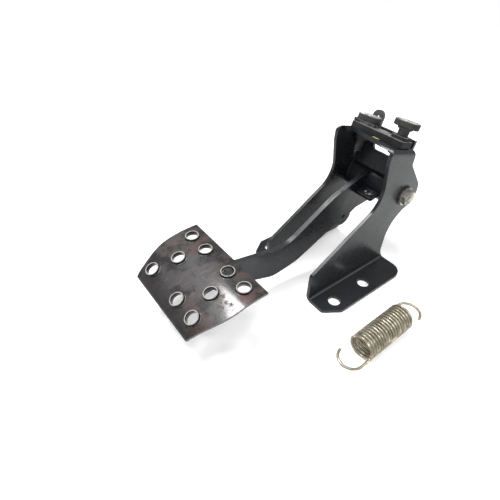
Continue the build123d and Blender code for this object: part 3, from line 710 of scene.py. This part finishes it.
def pad_paint():
    """Glossy brown-black paint in patches, with painted shade along the rolled front and worn rims that
    carry a painted highlight on top and painted shadow at the foot.
    """
    paint = Finish("pad_paint")
    clouds = paint.noise(13.0, detail=6.0, rough=0.62)
    fine = paint.noise(2.2, detail=6.0, rough=0.7)
    scratches = paint.noise(1.4, detail=4.0, stretch=ALONG_THE_PAD)
    _, along, up = paint.axes(paint.place)

    middle = paint.times(paint.near(*MIDDLE_SPOT), paint.window(clouds, 0.30, 0.55, 0.3, 1.0))
    mottle = paint.window(paint.noise(3.4, detail=7.0, rough=0.72), 0.55, 0.66)
    tint = paint.window(paint.noise(12.0, detail=3.0), 0.46, 0.64)
    corners = paint.most(*(paint.near(place, reach) for place, reach in RED_SPOTS))
    warmth = paint.times(tint, paint.plus(paint.times(corners, 0.8), 0.12))
    scuffs = paint.times(paint.window(scratches, 0.55, 0.72), paint.window(clouds, 0.4, 0.6))
    flecks = paint.times(paint.window(fine, 0.58, 0.64), paint.near(*RUST_SPOT))
    worn = paint.times(paint.edge(0.35), paint.window(fine, 0.42, 0.55))

    from_axis_y = paint.plus(along, -crown_y * MM)
    from_axis_z = paint.plus(up, -crown_z * MM)
    squared = paint.plus(paint.times(from_axis_y, from_axis_y), paint.times(from_axis_z, from_axis_z))
    proud = paint.minus(calculate(paint.tree, "SQRT", squared), crown_radius * MM)
    on_rim = paint.span(proud, *RIM_FOOT)
    rim_top = paint.times(paint.span(proud, *RIM_TOP), paint.window(fine, 0.30, 0.48))

    colour = paint.blend(paint.window(clouds, 0.38, 0.62), PAD_BLACK, PAD_BROWN)
    colour = paint.blend(paint.times(middle, 0.75), colour, PAD_BLUISH)
    colour = paint.blend(paint.times(mottle, 0.55), colour, PAD_MOTTLE)
    colour = paint.blend(warmth, colour, PAD_RED)
    colour = paint.blend(paint.times(scuffs, 0.35), colour, PAD_SCUFFS)
    colour = paint.blend(flecks, colour, PAD_RUST)
    # Painted shade along the rolled front, which turns down away from the light.
    colour = paint.blend(paint.times(paint.span(along, *FRONT_SHADE_COMES), 0.8), colour, PAD_FRONT_SHADE)
    # Painted shadow at the foot of each rim, then worn steel with a painted highlight at its top.
    colour = paint.blend(paint.times(on_rim, 0.95), colour, RIM_FOOT_SHADOW)
    colour = paint.blend(rim_top, colour, RIM_STEEL_AND_HIGHLIGHT)
    colour = paint.blend(paint.times(worn, 0.5), colour, PAD_EDGES)

    polish = paint.plus(clouds, paint.times(fine, 0.4))
    dull = paint.window(polish, 0.55, 0.85, 0.22, 0.45)
    chipped = paint.times(paint.most(flecks, on_rim), 0.3)
    glossy = paint.window(polish, 0.84, 0.72, 0.0, 0.8)
    paint.set(
        Base_Color=colour,
        Roughness=paint.plus(dull, chipped),
        Specular_IOR_Level=0.30,
        Coat_Weight=paint.times(glossy, paint.minus(1.0, on_rim)),
        Coat_Roughness=0.10,
    )
    paint.relief(paint.plus(fine, paint.times(scratches, 0.5)), strength=0.16, depth=0.15, edge_radius=0.3)
    return paint.material


finishes["pad_paint"] = pad_paint()
print("made pad_paint")

# %% [markdown]
# The hardware is zinc-plated steel in several states: dull grey screws and strip, silver washers and
# nut at the pivot, dark oily washers, and yellowish spring wire. One recipe makes them all: metal with a
# cloudy plating, dirt where the noise is low, and brighter edges where it is clean and unshaded. The strip
# and the screws have painted shade on their sides, which get less light than their tops. The screws also
# have painted shade below the bridge, and a painted highlight in one spot on each head. The bushes are
# plain nylon, which is the same recipe without the metal.

# %% Plated metals
HIGHLIGHT_REACH = 8.0
SHADE_BELOW_BRIDGE = (2.0, 0.0)

# In the strip and screw rows, the last settings paint shade on the sides and below the bridge, and
# highlights on the screw heads.
PLATED = {
    "strip_steel": dict(
        bright=(0.30, 0.30, 0.305), dull=(0.17, 0.17, 0.175), dirt_and_shade_colour=(0.008, 0.008, 0.009),
        roughness=0.40, metallic=0.5, dirt_share=0.4, edge_share=0.45, painted_side_shade=0.96,
    ),
    "dark_steel": dict(
        bright=(0.15, 0.15, 0.15), dull=(0.05, 0.05, 0.05), dirt_and_shade_colour=(0.015, 0.014, 0.013),
        roughness=0.40, metallic=0.7, dirt_share=0.6, edge_share=0.5,
    ),
    "screw_zinc": dict(
        bright=(0.86, 0.86, 0.85), dull=(0.52, 0.52, 0.51), dirt_and_shade_colour=(0.010, 0.009, 0.008),
        roughness=0.28, metallic=0.55, dirt_share=0.75, edge_share=0.5, painted_side_shade=0.96,
        highlight_spots=((-19.5, 56.5, 133.3), (14.5, 59.0, 140.0)), painted_shade_below=0.93,
    ),
    "pivot_zinc": dict(
        bright=(0.50, 0.48, 0.43), dull=(0.25, 0.24, 0.21), dirt_and_shade_colour=(0.06, 0.054, 0.043),
        roughness=0.30, metallic=0.85, dirt_share=0.5, edge_share=0.6,
    ),
    "spring_zinc": dict(
        bright=(0.47, 0.425, 0.33), dull=(0.27, 0.24, 0.175), dirt_and_shade_colour=(0.07, 0.058, 0.040),
        roughness=0.26, metallic=0.9, dirt_share=0.45, edge_share=0.2,
    ),
    "weld_metal": dict(
        bright=(0.36, 0.36, 0.35), dull=(0.12, 0.12, 0.12), dirt_and_shade_colour=(0.03, 0.03, 0.03),
        roughness=0.34, metallic=0.7, dirt_share=0.5, edge_share=0.3,
    ),
    "bush": dict(
        bright=(0.06, 0.058, 0.055), dull=(0.035, 0.034, 0.032), dirt_and_shade_colour=(0.012, 0.012, 0.012),
        roughness=0.5, metallic=0.0, dirt_share=0.5, edge_share=0.1,
    ),
}


def plated(
    name, bright, dull, dirt_and_shade_colour, roughness, metallic, dirt_share, edge_share,
    painted_side_shade=0.0, highlight_spots=(), painted_shade_below=0.0,
):
    """Cloudy plating, dirty in patches; the last three arguments set how dark the painted shade is on the
    sides and below the bridge, and where painted highlights go.
    """
    metal = Finish(name)
    clouds = metal.noise(6.0, detail=4.0)
    grain = metal.noise(0.7, detail=3.0)
    patches = metal.window(metal.noise(4.0, detail=6.0, rough=0.6), 0.60, 0.42)
    dirt_and_shade = metal.times(patches, dirt_share)
    # Painted shade: faces that don't point up take the dark colour, as they get less light than the tops.
    if painted_side_shade:
        _, _, upward = metal.axes(metal.facing)
        dirt_and_shade = metal.most(dirt_and_shade, metal.window(upward, 0.92, 0.70, 0.0, painted_side_shade))
    # Painted shade: the screws darken below the bridge, where its shade falls.
    if painted_shade_below:
        _, along, up = metal.axes(metal.place)
        fallen = metal.times(metal.plus(along, -BRIDGE_MIDDLE[1] * MM), math.tan(BRIDGE_TILT))
        over_bridge = metal.plus(metal.plus(up, -BRIDGE_MIDDLE[2] * MM), fallen)
        dirt_and_shade = metal.most(dirt_and_shade, metal.span(over_bridge, *SHADE_BELOW_BRIDGE, 0.0, painted_shade_below))
    # Painted highlight: each screw head is kept clean and bright round one spot, where its dish catches
    # the light.
    for spot in highlight_spots:
        off_highlight = metal.minus(1.0, metal.near(spot, HIGHLIGHT_REACH))
        dirt_and_shade = metal.times(dirt_and_shade, metal.window(off_highlight, 0.2, 0.7))
    clean_and_lit = metal.minus(1.0, dirt_and_shade)
    colour = metal.blend(metal.window(clouds, 0.35, 0.65), dull, bright)
    colour = metal.blend(dirt_and_shade, colour, dirt_and_shade_colour)
    colour = metal.blend(metal.times(metal.edge(0.35), metal.times(clean_and_lit, edge_share)), colour, bright)
    polish = metal.window(clouds, 0.3, 0.7, roughness + 0.10, roughness)
    metal.set(
        Base_Color=colour,
        Metallic=metal.times(clean_and_lit, metallic),
        Roughness=metal.plus(polish, metal.times(dirt_and_shade, 0.35)),
        Specular_IOR_Level=0.25,
    )
    metal.relief(grain, strength=0.15, depth=0.10, edge_radius=0.3)
    return metal.material


for name, recipe in PLATED.items():
    finishes[name] = plated(name, **recipe)
print("made", ", ".join(PLATED))

# %% [markdown]
# Each CAD node gets the finish of its slot in the record, and each new piece the finish noted for it.

# %% Dress the nodes and the pieces
slots = {row["node"]: row["material_slot"] for row in frame["record"]["subparts"]}
for name, node in frame["nodes"].items():
    node.data.materials.clear()
    node.data.materials.append(finishes[slots[name]])
for piece, finish in dressed:
    piece.data.materials.append(finishes[finish])
print("finishes on", len(slots), "nodes and", len(dressed), "pieces")
